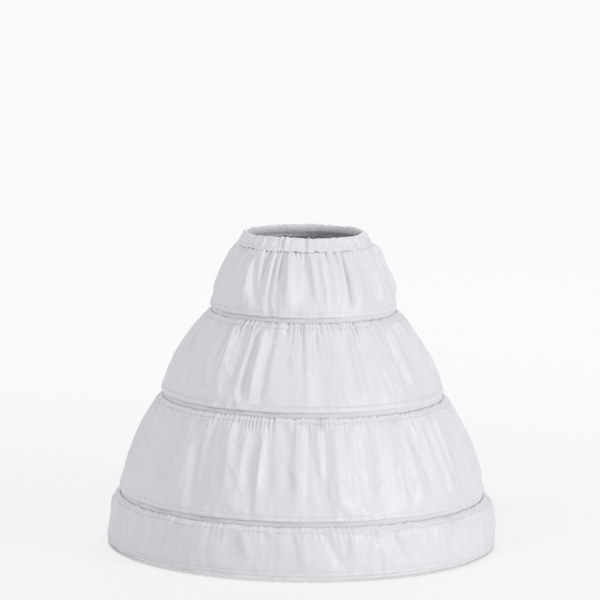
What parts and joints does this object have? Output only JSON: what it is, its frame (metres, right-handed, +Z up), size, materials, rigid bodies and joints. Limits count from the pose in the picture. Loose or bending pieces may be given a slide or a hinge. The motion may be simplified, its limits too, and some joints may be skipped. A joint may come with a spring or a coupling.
{
  "type": "hoop petticoat",
  "caption": "Child's crinoline cage: gathered white taffeta tiers spread by spring hoops in tape channels, with an elastic waist and a lace-edged hem.",
  "frame": {"origin": "on the floor, under the middle of the hem", "axes": "+Z up through the waist; the front faces -Y and the back, where the hoops and the elastic join, faces +Y"},
  "size_m": [0.6608, 0.6605, 0.534],
  "materials": {
    "cloth": "white taffeta with a soft sheen",
    "tape": "woven satin tape",
    "lace": "fine openwork edging",
    "elastic": "braided elastic",
    "coated_steel": "spring steel strip in a smooth white coat",
    "ferrule": "crimped plated steel"
  },
  "bodies": {
    "root": {"hoop_1": "coated_steel", "hoop_2": "coated_steel", "hoop_3": "coated_steel", "hoop_channel_1": "tape", "hoop_channel_2": "tape", "hoop_channel_3": "tape", "hoop_ferrule_1": "ferrule", "hoop_ferrule_2": "ferrule", "hoop_ferrule_3": "ferrule", "lace_edging": "lace", "tier_1_back": "cloth", "tier_1_front": "cloth", "tier_2_back": "cloth", "tier_2_front": "cloth", "tier_3_back": "cloth", "tier_3_front": "cloth", "tier_4_back": "cloth", "tier_4_front": "cloth", "waist_casing": "cloth", "waist_elastic": "elastic"}
  },
  "joints": []
}
